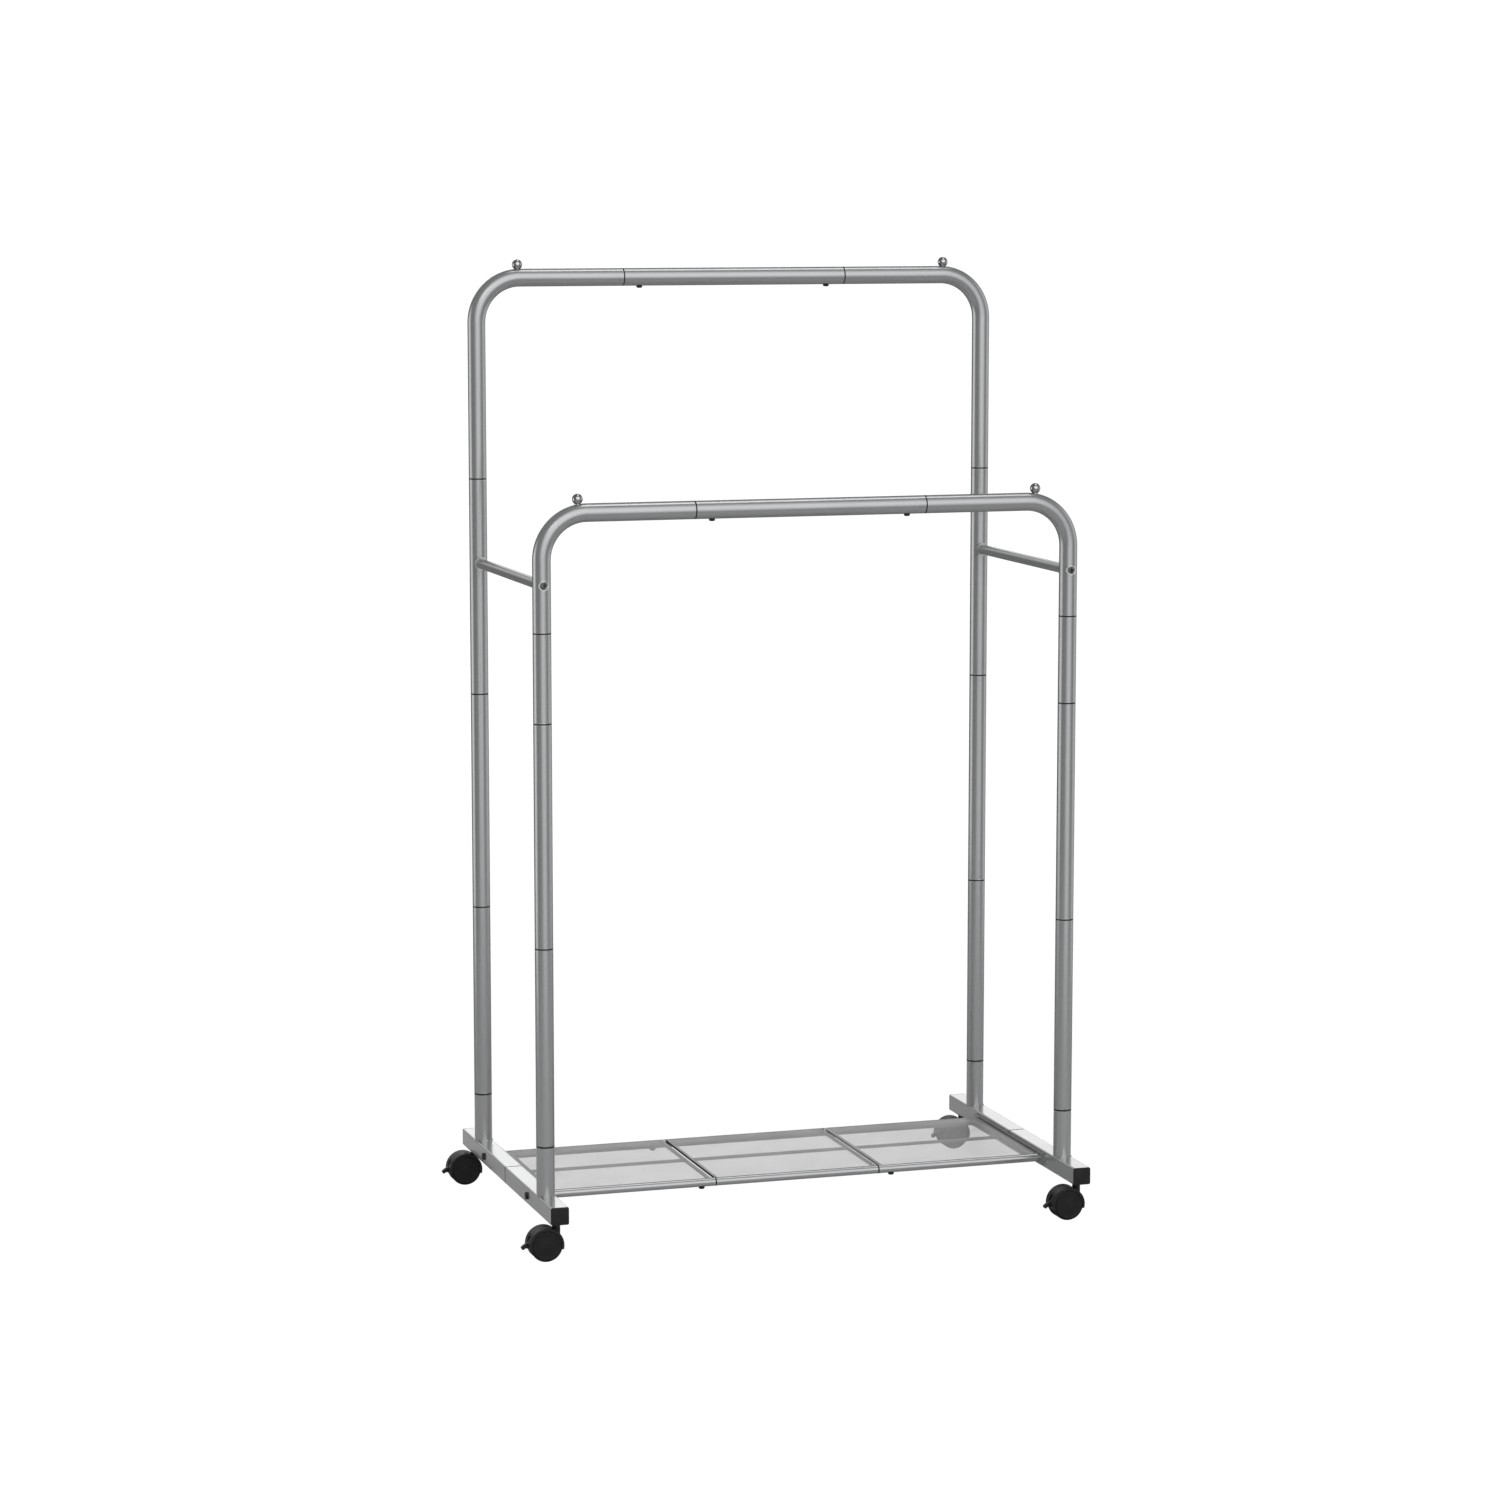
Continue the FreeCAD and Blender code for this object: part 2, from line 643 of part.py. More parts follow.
def pan_screw(x, y, z):
    """A pan-head screw driven upwards; the top face of its head is at z."""
    outer = dim("screwHead") / 2
    height = dim("screwHeadHeight")
    shank = dim("screwShank") / 2
    screw = turned([
        (0, -height),
        (outer * 0.6, -height),
        (outer * 0.88, height * -0.85),
        (outer, height * -0.5),
        (outer, 0),
        (shank, 0),
        (shank, dim("screwLength")),
        (0, dim("screwLength")),
    ], "screw")
    return locate(screw, x, y, z)


def build_rail_screws():
    """Screws that lock the plugs in the hanging rails and in the shelf rails."""
    screws = []
    for frame in FRAMES.values():
        for _, side in SIDES:
            z = frame["rail"] - tube / 2
            x = (dim("barLength") / 2 - dim("barScrewInset")) * side
            screws.append(pan_screw(x, half_depth * frame["y"], z))
    for _, end in ENDS:
        for _, side in SIDES:
            z = rail_height - rail / 2
            screws.append(pan_screw(dim("shelfScrewSpan") / 2 * side, rail_y * end, z))
    subpart(group(screws), "rail_screws")


def build_shelf_bolts():
    """Button-head bolts through the base beams into the ends of the shelf rails."""
    bolts = []
    for _, side in SIDES:
        for _, end in ENDS:
            face = half_width + dim("beamWidth") / 2
            head_x = face if side > 0 else -face - dim("boltHeadHeight")
            shank_x = face - dim("boltLength") if side > 0 else -face
            head = cylinder(dim("boltHead"), dim("boltHeadHeight"), head_x, rail_y * end,
                            rail_height, ALONG_X)
            shank = cylinder(dim("boltShank"), dim("boltLength"), shank_x, rail_y * end,
                             rail_height, ALONG_X)
            floor = dim("boltSocketFloor")
            socket_x = face + floor if side > 0 else -face - dim("boltHeadHeight")
            socket = hexagon(dim("boltSocket"), dim("boltHeadHeight") - floor, socket_x,
                             rail_y * end, rail_height, ALONG_X)
            bolts.append(cut(fuse([head, shank]), [socket]))
    subpart(group(bolts), "shelf_bolts")


# ---- casters
beam_bottom = dim("beamTop") - dim("beamHeight")
wheel_radius = dim("wheelDiameter") / 2
CASTERS = [(end_name, end, side_name, side) for end_name, end in ENDS for side_name, side in SIDES]
stem_foot = dim("stemFoot")


def build_caster_stems():
    """Swivel stems: a plain journal below a flange, and a thread up into the beam."""
    stems = []
    nuts = []
    flange = dim("flangeHeight")
    for _, end, _, side in CASTERS:
        x = half_width * side
        y = caster_y * end
        journal = cylinder(dim("stemDiameter"), beam_bottom - stem_foot - flange, x, y, stem_foot)
        collar = cylinder(dim("flangeDiameter"), flange, x, y, beam_bottom - flange)
        thread = cylinder(dim("threadDiameter"), dim("threadLength"), x, y, beam_bottom)
        stems.append(fuse([journal, collar, thread]))
        nut = hexagon(dim("nutWidth"), dim("nutHeight"), x, y, beam_bottom + dim("beamWall"))
        nuts.append(cut(nut, [cylinder(dim("threadDiameter"), dim("nutHeight"), x, y,
                                       beam_bottom + dim("beamWall"))]))
    subpart(group(stems), "caster_stems")
    subpart(group(nuts), "caster_nuts")


def y_cylinder(diameter, width, x, y, z):
    """A cylinder along Y, spread evenly about y."""
    return cylinder(diameter, width, x, y - as_size(width) / 2, z, ALONG_Y)


def build_hood(label, x, y):
    """The caster's body: a curved hood with side lips, a middle web and the swivel boss."""
    wheel_x = x - dim("casterTrail")
    wheel_z = wheel_radius
    width = dim("hoodWidth")
    room = dim("hoodDiameter")
    shell_bore = room - 2 * dim("hoodWall")
    outside = y_cylinder(room, width, wheel_x, y, wheel_z)
    shell = cut(rounded(outside, is_round, dimensions["hoodRounding"]),
                [y_cylinder(shell_bore, width - 2 * dim("hoodLip"), wheel_x, y, wheel_z),
                 y_cylinder(dim("hoodMouth"), 2 * width, wheel_x, y, wheel_z)])
    core = shell_bore + dim("hoodWeld")
    web = y_cylinder(core, dim("webWidth"), wheel_x, y, wheel_z)
    boss = cut(cylinder(dim("bossDiameter"), dim("bossTop") - dim("bossFoot"), x, y,
                        dim("bossFoot")), [y_cylinder(core, width, wheel_x, y, wheel_z)])
    stem_bore = dim("stemDiameter") + 2 * dim("runningGap")
    below = centred_box(room, room, room, wheel_x, y, wheel_z - dim("skirtRise") - room)
    tools = [below,
             cylinder(stem_bore, beam_bottom - stem_foot, x, y, stem_foot - dim("stemRoom")),
             y_cylinder(dim("axleDiameter"), 2 * width, wheel_x, y, wheel_z),
             centred_box(dim("slotLength"), dim("leverWidth") + dim("slotRoom"), dim("slotHeight"),
                         x - dim("slotBack"), y, dim("slotFoot")),
             y_cylinder(dim("nibPocket"), dim("nibPocketWidth"), x - dim("nibPocketBack"), y,
                        dim("nibPocketHeight"))]
    body = cut(fuse([shell, web, boss]), tools)
    pin = y_cylinder(dim("pivotPin"), dim("webWidth"), x - dim("pivotBack"), y, dim("pivotHeight"))
    return subpart(fuse([body, pin]), label)


def is_round(edge):
    return edge.BoundBox.XLength > 1 and edge.BoundBox.ZLength > 1


def build_wheel(label, x, y, side):
    """One wheel of the pair: rim, dished web and hub with a blind bore for the axle."""
    inner = dim("wheelGap") / 2
    outer = dim("casterWidth") / 2
    bore_radius = dim("axleDiameter") / 2 + dim("runningGap")
    hub = dim("hubRadius")
    web = dim("webDepth")
    dish = dim("dishRadius")
    face = dim("faceRadius")
    bevel = dim("rimBevel")
    rim = inner + 0.5
    wheel = turned([
        (bore_radius, inner),
        (hub, inner),
        (hub, web),
        (dish, web),
        (dish, rim),
        (wheel_radius - bevel, rim),
        (wheel_radius, rim + bevel),
        (wheel_radius, web + 0.1),
        (wheel_radius - 0.9, web + 1),
        (face, web + 1.3),
        (face, outer - 1),
        (face - 1, outer - 0.2),
        (face - 2.6, outer),
        (0, outer),
        (0, outer - 1.3),
        (bore_radius, outer - 1.3),
    ], label)
    turn = Rotation(Vector(1, 0, 0), -90 * side)
    locate(wheel, x - dim("casterTrail"), y, wheel_radius, turn)
    return subpart(wheel, label)


def build_lever(label, x, y):
    """The brake lever: a hooked tongue on a cross pin, with a nib that wedges on the wheel rims."""
    corners = [(-31.4, 38.2), (-34.6, 38.6), (-37.4, 35.4), (-41.5, 32.2), (-45.5, 28.8),
               (-50.5, 26.0), (-53.6, 23.6), (-54.8, 21.8), (-53.6, 19.4), (-51.4, 18.4),
               (-49.8, 20.3), (-46.8, 21.0), (-43.6, 21.6), (-38.5, 25.6), (-33.4, 28.2),
               (-31.2, 31.4)]
    tongue = extruded(corners, dim("leverWidth"), "tongue")
    locate(tongue, x, y, 0)
    nib = y_cylinder(dim("nibDiameter"), dim("nibLength"), x - dim("nibBack"), y, dim("nibHeight"))
    hole = y_cylinder(dim("pivotPin") + 2 * dim("runningGap"), 2 * dim("leverWidth"),
                      x - dim("pivotBack"), y, dim("pivotHeight"))
    return subpart(cut(fuse([tongue, nib]), [hole]), label)


def build_caster(end_name, end, side_name, side):
    x = half_width * side
    y = caster_y * end
    place = "%s_%s" % (end_name, side_name)
    build_hood("caster_hood_" + place, x, y)
    build_wheel("caster_wheel_a_" + place, x, y, -1)
    build_wheel("caster_wheel_b_" + place, x, y, 1)
    subpart(y_cylinder(dim("axleDiameter"), dim("axleLength"), x - dim("casterTrail"), y,
                       wheel_radius), "caster_axle_" + place)
    build_lever("brake_lever_" + place, x, y)


def build_rack():
    build_posts()
    for name, frame in FRAMES.items():
        build_rail_bar(name, frame)
        for side_name, side in SIDES:
            build_corner(name, frame, side_name, side)
    build_finials()
    for side_name, side in SIDES:
        build_tie_rod(side_name, side)
        build_beam_sleeve(side_name, side)
        build_outer_shelf_frame(side_name, side)
        for end_name, end in ENDS:
            build_beam_half(end_name, end, side_name, side)
    build_middle_shelf_frame()
    build_shelf_meshes()
    build_tie_bolts()
    build_end_caps()
    build_rail_screws()
    build_shelf_bolts()
    build_caster_stems()
    for end_name, end, side_name, side in CASTERS:
        build_caster(end_name, end, side_name, side)


def check_model():
    """Stop before anything is written if a feature failed or a sub-part has no valid shape."""
    for obj in doc.Objects:
        if "Invalid" in obj.State or "Error" in obj.State:
            raise RuntimeError("%s failed to build: %s" % (obj.Label, obj.getStatusString()))
    for obj in subparts:
        if obj.Shape.isNull() or not obj.Shape.isValid():
            raise RuntimeError("%s has no valid shape" % obj.Label)


build_rack()
doc.recompute()
check_model()
os.makedirs("parts", exist_ok=True)
for obj in subparts:
    obj.Shape.exportStep("parts/%s.step" % obj.Label)
print(len(subparts), "sub-parts written")
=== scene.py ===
import math
import bpy
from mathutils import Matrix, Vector


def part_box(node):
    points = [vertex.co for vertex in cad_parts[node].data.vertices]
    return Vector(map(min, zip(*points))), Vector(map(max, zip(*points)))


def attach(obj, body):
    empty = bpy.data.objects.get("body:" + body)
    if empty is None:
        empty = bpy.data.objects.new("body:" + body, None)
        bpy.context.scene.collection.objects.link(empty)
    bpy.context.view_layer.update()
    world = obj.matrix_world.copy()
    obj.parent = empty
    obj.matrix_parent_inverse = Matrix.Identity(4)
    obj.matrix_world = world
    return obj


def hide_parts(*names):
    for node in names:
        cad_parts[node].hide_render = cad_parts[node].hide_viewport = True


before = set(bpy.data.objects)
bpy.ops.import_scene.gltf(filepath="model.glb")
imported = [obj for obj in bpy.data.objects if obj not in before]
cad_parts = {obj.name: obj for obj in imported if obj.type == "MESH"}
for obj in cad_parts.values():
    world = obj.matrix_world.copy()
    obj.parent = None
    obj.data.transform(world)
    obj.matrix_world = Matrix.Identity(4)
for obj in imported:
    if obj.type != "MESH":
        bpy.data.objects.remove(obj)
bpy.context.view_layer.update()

mm = 0.001
mergeReach = 0.002 * mm  # points closer than this are one point


# a socket that can be used in sums
class Wire:
    def __init__(self, paint, socket):
        self.paint = paint
        self.socket = socket

    def __add__(self, other):
        return self.paint.maths("ADD", self, other)

    def __radd__(self, other):
        return self.paint.maths("ADD", other, self)

    def __sub__(self, other):
        return self.paint.maths("SUBTRACT", self, other)

    def __rsub__(self, other):
        return self.paint.maths("SUBTRACT", other, self)

    def __mul__(self, other):
        return self.paint.maths("MULTIPLY", self, other)

    def __rmul__(self, other):
        return self.paint.maths("MULTIPLY", other, self)


# one material and the nodes in it
class Paint:
    def __init__(self, name, **constants):
        self.material = bpy.data.materials.new(name)
        self.material.use_nodes = True
        self.tree = self.material.node_tree
        self.shader = self.tree.nodes["Principled BSDF"]
        for socketName, value in constants.items():
            self.shader.inputs[socketName.replace("_", " ")].default_value = value
        self.place = self.node("ShaderNodeTexCoord", outlet="Object")

    # adds a node: its settings go on first, then the values or links of its sockets
    def node(self, kind, settings=None, sockets=None, outlet=0):
        made = self.tree.nodes.new(kind)
        for name, value in (settings or {}).items():
            if name == "stops":
                self.setStops(made.color_ramp, value)
            else:
                setattr(made, name, value)
        for key, value in (sockets or {}).items():
            if isinstance(value, Wire):
                self.tree.links.new(value.socket, made.inputs[key])
            else:
                made.inputs[key].default_value = value
        return Wire(self, made.outputs[outlet])

    def setStops(self, ramp, stops):
        while len(ramp.elements) < len(stops):
            ramp.elements.new(0.5)
        for element, (position, level) in zip(ramp.elements, stops):
            element.position = position
            element.color = (level, level, level, 1)

    def maths(self, operation, first, second=0.0):
        return self.node("ShaderNodeMath", {"operation": operation}, {0: first, 1: second})

    def noise(self, scale, detail=2.0, roughness=0.5, at=None):
        return self.node("ShaderNodeTexNoise", None,
                         {"Vector": at or self.place, "Scale": scale, "Detail": detail,
                          "Roughness": roughness}, "Fac")

    def ramp(self, value, *stops):
        return self.node("ShaderNodeValToRGB", {"stops": stops}, {"Fac": value})

    def stretched(self, scale):
        return self.node("ShaderNodeMapping", None, {"Vector": self.place, "Scale": scale})

    def mixed(self, amount, first, second):
        return self.node("ShaderNodeMix", {"data_type": "RGBA"},
                         {"Factor": amount, 6: first, 7: second}, 2)

    def bump(self, height, distance):
        return self.node("ShaderNodeBump", None,
                         {"Height": height, "Distance": distance, "Strength": 1.0})

    def feed(self, **links):
        for socketName, wire in links.items():
            self.tree.links.new(wire.socket, self.shader.inputs[socketName.replace("_", " ")])
        return self.material

    # 1 close to any of the planes where tubes are joined, 0 elsewhere
    def nearSeams(self, families, reach):
        total = None
        for axis, planes in families:
            along = self.node("ShaderNodeSeparateXYZ", None, {"Vector": self.place}, axis)
            for plane in planes:
                mark = self.maths("LESS_THAN", self.maths("ABSOLUTE", along - plane), reach)
                total = mark if total is None else self.maths("MAXIMUM", total, mark)
        return total


# silver enamel on the tubes: fine orange peel, and at each joint a rubbed ring with painted shade, near
# black, in the gap
# coat is the clear gloss on top, and edge is how strongly a surface shines at a grazing angle
enamelLook = {
    "color": (0.40, 0.405, 0.41, 1), "colorDeep": (0.36, 0.365, 0.37, 1), "bare": (0.60, 0.60, 0.60, 1),
    "shade": (0.03, 0.03, 0.03, 1), "metallic": 0.66, "gloss": 0.21, "glossSpread": 0.05,
    "coat": {"rear": 0.12, "front": 0.12, "shelf": 0.3, "beam": 0.6}, "coatGloss": 0.1,
    "edge": {"rear": 0.2, "front": 0.2, "shelf": 0.5, "beam": 1.0},
    "cloudScale": 9, "flakeScale": 2600, "flakeShare": 0.06,
    "peelScale": 700, "peelHeight": 0.004 * mm,
    "scuffScale": 60, "scuffStretch": (1, 1, 0.25), "rubShare": 0.5, "rubRough": 0.12,
    "scratchScale": 420, "scratchStretch": (1, 1, 0.08), "scratchRough": 0.02, "scratchDepth": 0.08,
    # gapShadeShare is how strongly painted shade darkens the joint gap, and gapReach is how wide it is
    "gapShadeShare": 0.95, "gapRough": 0.3,
    "seamReach": 2.6 * mm,
    "gapReach": {"rear": 1.1 * mm, "front": 1.1 * mm, "beam": 1.7 * mm, "shelf": 1.2 * mm},
}


def topOf(node):
    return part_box(node)[1].z


def railEnds(node):
    low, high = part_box(node)
    return low.x, high.x


# where each family of tubes is joined: at the top of each upright tube, at the ends of the
# rail bars, in the middle of the beams and at the sides of the middle shelf panel
stubTop = topOf("base_beam_rear_left")
rearTops = [topOf("rear_" + tube + "_post_left") for tube in ("lower", "middle", "upper")]
frontTops = [topOf("front_" + tube + "_post_left") for tube in ("lower", "middle", "short")]
shelfSides = (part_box("shelf_frame_left")[1].x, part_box("shelf_frame_right")[0].x)
seamPlanes = {
    "rear": (("Z", [stubTop] + rearTops), ("X", railEnds("rear_rail_bar"))),
    "front": (("Z", [stubTop] + frontTops), ("X", railEnds("front_rail_bar"))),
    "beam": (("Y", [0.0]), ("Z", [stubTop])),
    "shelf": (("X", shelfSides),),
}


def makeEnamel(family):
    look = enamelLook
    edge = look["edge"][family]
    paint = Paint(family + "Enamel", Metallic=look["metallic"], Coat_Roughness=look["coatGloss"],
                  Specular_Tint=(edge, edge, edge, 1))
    cloud = paint.noise(look["cloudScale"], 3)
    grain = paint.noise(look["peelScale"], 2)
    flake = paint.noise(look["flakeScale"], 1)
    scuff = paint.noise(look["scuffScale"], 5, 0.7, paint.stretched(look["scuffStretch"]))
    seam = paint.nearSeams(seamPlanes[family], look["seamReach"])
    gapShade = paint.nearSeams(seamPlanes[family], look["gapReach"][family])
    rubbed = paint.ramp(scuff, (0.46, 0), (0.66, 1)) * seam * look["rubShare"]
    hairs = paint.noise(look["scratchScale"], 4, 0.75, paint.stretched(look["scratchStretch"]))
    scratch = paint.ramp(hairs, (0.69, 0), (0.74, 1))
    color = paint.mixed(cloud, look["color"], look["colorDeep"])
    color = paint.mixed(flake * look["flakeShare"], color, look["bare"])
    color = paint.mixed(rubbed, color, look["bare"])
    # painted shade: the gap where tubes are joined is coloured near black
    color = paint.mixed(gapShade * look["gapShadeShare"], color, look["shade"])
    rough = look["gloss"] + cloud * look["glossSpread"] + scratch * look["scratchRough"]
    rough = rough + rubbed * look["rubRough"] + gapShade * look["gapRough"]
    height = grain - scratch * look["scratchDepth"]
    coat = look["coat"][family] * (1 - gapShade)
    return paint.feed(Base_Color=color, Roughness=rough, Coat_Weight=coat,
                      Normal=paint.bump(height, look["peelHeight"]))


# grey coating of the shelf mesh: dull, cloudy and slightly lumpy
meshLook = {
    "color": (0.46, 0.46, 0.46, 1), "colorDark": (0.36, 0.36, 0.37, 1), "metallic": 0.35, "coat": 0.15,
    "gloss": 0.42, "lumpRough": 0.1, "cloudScale": 14, "lumpScale": 900, "lumpHeight": 0.02 * mm,
}


def makeMeshEnamel():
    look = meshLook
    paint = Paint("meshEnamel", Metallic=look["metallic"], Coat_Weight=look["coat"])
    cloud = paint.noise(look["cloudScale"], 3)
    lumps = paint.noise(look["lumpScale"], 2)
    color = paint.mixed(paint.ramp(cloud, (0.35, 0), (0.7, 1)), look["color"], look["colorDark"])
    rough = look["gloss"] + lumps * look["lumpRough"]
    return paint.feed(Base_Color=color, Roughness=rough, Normal=paint.bump(lumps, look["lumpHeight"]))


# chrome of the ball finials, with a thin film of haze
chromeLook = {
    "color": (0.44, 0.44, 0.45, 1), "haze": (0.34, 0.34, 0.36, 1), "edge": (0.1, 0.1, 0.1, 1),
    "gloss": 0.06, "hazeRough": 0.06, "filmScale": 160, "filmHeight": 0.004 * mm,
}


def makeChrome():
    look = chromeLook
    paint = Paint("ballChrome", Metallic=1.0, Specular_Tint=look["edge"])
    film = paint.noise(look["filmScale"], 4, 0.6)
    smear = paint.ramp(film, (0.45, 0), (0.75, 1))
    rough = look["gloss"] + smear * look["hazeRough"]
    color = paint.mixed(smear, look["color"], look["haze"])
    return paint.feed(Base_Color=color, Roughness=rough, Normal=paint.bump(film, look["filmHeight"]))


# zinc plate with fine turning marks: bright on stems, nuts and axles; darkened with painted shade on the
# tie rod bolts inside the tubes; near white as a painted highlight on the pressed hole rims
zincLook = {
    "bright": {"color": (0.55, 0.56, 0.58, 1), "dull": (0.38, 0.39, 0.41, 1), "gloss": 0.3},
    "dark": {"color": (0.16, 0.16, 0.17, 1), "dull": (0.08, 0.08, 0.085, 1), "gloss": 0.32},
    "rim": {"color": (0.92, 0.92, 0.92, 1), "dull": (0.80, 0.80, 0.80, 1), "gloss": 0.3},
}
zincMarks = {"cloudScale": 120, "scale": 1500, "stretch": (0.15, 0.15, 1), "rough": 0.15,
             "height": 0.02 * mm}


def makeZinc(name):
    look = zincLook[name]
    marks = zincMarks
    paint = Paint(name + "Zinc", Metallic=1.0)
    turned = paint.noise(marks["scale"], 2, 0.5, paint.stretched(marks["stretch"]))
    cloud = paint.noise(marks["cloudScale"], 4)
    color = paint.mixed(paint.ramp(cloud, (0.4, 0), (0.65, 1)), look["color"], look["dull"])
    rough = look["gloss"] + turned * marks["rough"]
    return paint.feed(Base_Color=color, Roughness=rough, Normal=paint.bump(turned, marks["height"]))


# black oxide of the screws and shelf bolts, finely pitted
oxideLook = {
    "color": (0.018, 0.018, 0.02, 1), "worn": (0.06, 0.06, 0.062, 1), "metallic": 0.6, "gloss": 0.34,
    "cloudScale": 260, "pitScale": 1800, "pitRough": 0.18, "pitHeight": 0.03 * mm,
}


def makeOxide():
    look = oxideLook
    paint = Paint("blackOxide", Metallic=look["metallic"])
    pits = paint.noise(look["pitScale"], 3)
    cloud = paint.noise(look["cloudScale"], 4)
    color = paint.mixed(paint.ramp(cloud, (0.5, 0), (0.72, 1)), look["color"], look["worn"])
    rough = look["gloss"] + pits * look["pitRough"]
    return paint.feed(Base_Color=color, Roughness=rough, Normal=paint.bump(pits, look["pitHeight"]))


# moulded black nylon: fine spark-eroded grain and a little dust
nylonLook = {
    "hood": {"color": (0.014, 0.014, 0.015, 1), "worn": (0.022, 0.022, 0.023, 1), "gloss": 0.36,
             "grainScale": 2200, "grainHeight": 0.05 * mm},
    "wheel": {"color": (0.009, 0.009, 0.0095, 1), "worn": (0.014, 0.014, 0.014, 1), "gloss": 0.46,
              "grainScale": 1500, "grainHeight": 0.035 * mm},
    "cap": {"color": (0.013, 0.013, 0.014, 1), "worn": (0.02, 0.02, 0.021, 1), "gloss": 0.4,
            "grainScale": 1900, "grainHeight": 0.06 * mm},
}
nylonSurface = {"shine": 0.22, "grainRough": 0.1, "dustScale": 70, "dustRough": 0.12}


def makeNylon(name):
    look = nylonLook[name]
    surface = nylonSurface
    paint = Paint(name + "Nylon", Specular_IOR_Level=surface["shine"])
    grain = paint.noise(look["grainScale"], 2)
    cloud = paint.noise(surface["dustScale"], 5, 0.65)
    dust = paint.ramp(cloud, (0.48, 0), (0.8, 1))
    color = paint.mixed(dust, look["color"], look["worn"])
    rough = look["gloss"] + grain * surface["grainRough"] + dust * surface["dustRough"]
    return paint.feed(Base_Color=color, Roughness=rough,
                      Normal=paint.bump(grain, look["grainHeight"]))


rearEnamel = makeEnamel("rear")
frontEnamel = makeEnamel("front")
beamEnamel = makeEnamel("beam")
shelfEnamel = makeEnamel("shelf")
meshEnamel = makeMeshEnamel()
chrome = makeChrome()
zinc = makeZinc("bright")
# a zinc copy darkened as painted shade for the tie rod bolts, and a near white copy as a painted highlight
# for the hole rims
paintedShadeZinc = makeZinc("dark")
rimHighlightZinc = makeZinc("rim")
oxide = makeOxide()
hoodNylon = makeNylon("hood")
wheelNylon = makeNylon("wheel")
capNylon = makeNylon("cap")
print("materials made")

# the finish of each kind of CAD node: the first start that fits its name counts
nodeFinish = {
    "rear_": rearEnamel, "front_": frontEnamel, "base_beam": beamEnamel, "shelf_frame": shelfEnamel,
    # the tie rod bolts get the zinc darkened with painted shade
    "tie_rod_bolts": paintedShadeZinc, "tie_rod_": shelfEnamel, "beam_sleeve": zinc, "rail_finials": chrome,
    "beam_end_caps": capNylon, "rail_screws": oxide, "shelf_bolts": oxide, "caster_stems": zinc,
    "caster_nuts": zinc, "caster_axle": zinc, "caster_hood": hoodNylon, "brake_lever": hoodNylon,
    "caster_wheel": wheelNylon, "shelf_mesh": meshEnamel,
}


def dressNodes():
    for name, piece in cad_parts.items():
        finish = next(look for start, look in nodeFinish.items() if name.startswith(start))
        piece.data.materials.clear()
        piece.data.materials.append(finish)


dressNodes()
print("frame nodes dressed")


def clearSelection():
    if bpy.context.mode != "OBJECT":
        bpy.ops.object.mode_set(mode="OBJECT")
    bpy.ops.object.select_all(action="DESELECT")


def pickOnly(piece):
    clearSelection()
    piece.select_set(True)
    bpy.context.view_layer.objects.active = piece


# the place, turn and size of what is selected go into its mesh, so the object ends at the origin
def applyPlace():
    bpy.ops.object.transform_apply(location=True, rotation=True, scale=True)


def startPiece(name):
    piece = bpy.context.object
    piece.name = name
    piece.data.name = name
    return piece


def addBlock(name, middle, size, turn=0.0):
    clearSelection()
    bpy.ops.mesh.primitive_cube_add(size=1, location=middle, rotation=(0, 0, turn))
    block = startPiece(name)
    block.scale = size
    applyPlace()
    return block


def settle(piece, finish):
    pickOnly(piece)
    applyPlace()
    piece.data.materials.clear()
    piece.data.materials.append(finish)


def repeatAlong(piece, count, step):
    modifier = piece.modifiers.new("row", "ARRAY")
    modifier.use_relative_offset = False
    modifier.use_constant_offset = True
    modifier.constant_offset_displace = step
    modifier.count = count
    bpy.context.view_layer.objects.active = piece
    bpy.ops.object.modifier_apply(modifier="row")


def joinInto(piece, others):
    clearSelection()
    for other in others:
        other.select_set(True)
    piece.select_set(True)
    bpy.context.view_layer.objects.active = piece
    bpy.ops.object.join()
    return piece


def smoothFaces(piece, degrees=35):
    pickOnly(piece)
    bpy.ops.object.shade_smooth_by_angle(angle=math.radians(degrees))


# turns a half outline round the upright axis; the points are (radius, height) in millimetres
def turnOutline(name, outline, steps):
    clearSelection()
    bpy.ops.mesh.primitive_plane_add(size=2 * mm)
    piece = startPiece(name)
    bpy.ops.object.mode_set(mode="EDIT")
    bpy.ops.mesh.select_all(action="SELECT")
    bpy.ops.mesh.merge(type="CENTER")
    here = Vector((outline[0][0], 0, outline[0][1])) * mm
    bpy.ops.transform.translate(value=here)
    for radius, height in outline[1:]:
        there = Vector((radius, 0, height)) * mm
        bpy.ops.mesh.extrude_region_move(TRANSFORM_OT_translate={"value": there - here})
        here = there
    bpy.ops.mesh.select_all(action="SELECT")
    bpy.ops.mesh.spin(steps=steps, angle=2 * math.pi, center=(0, 0, 0), axis=(0, 0, 1))
    bpy.ops.mesh.select_all(action="SELECT")
    bpy.ops.mesh.remove_doubles(threshold=mergeReach)
    bpy.ops.mesh.normals_make_consistent(inside=False)
    bpy.ops.object.mode_set(mode="OBJECT")
    smoothFaces(piece)
    return piece


def copyTo(master, name, place, turn=(0, 0, 0)):
    piece = master.copy()
    piece.data = master.data.copy()
    piece.name = piece.data.name = name
    piece.location = place
    piece.rotation_euler = turn
    bpy.context.scene.collection.objects.link(piece)
    pickOnly(piece)
    applyPlace()
    return piece


def dropMaster(master):
    mesh = master.data
    bpy.data.objects.remove(master)
    bpy.data.meshes.remove(mesh)


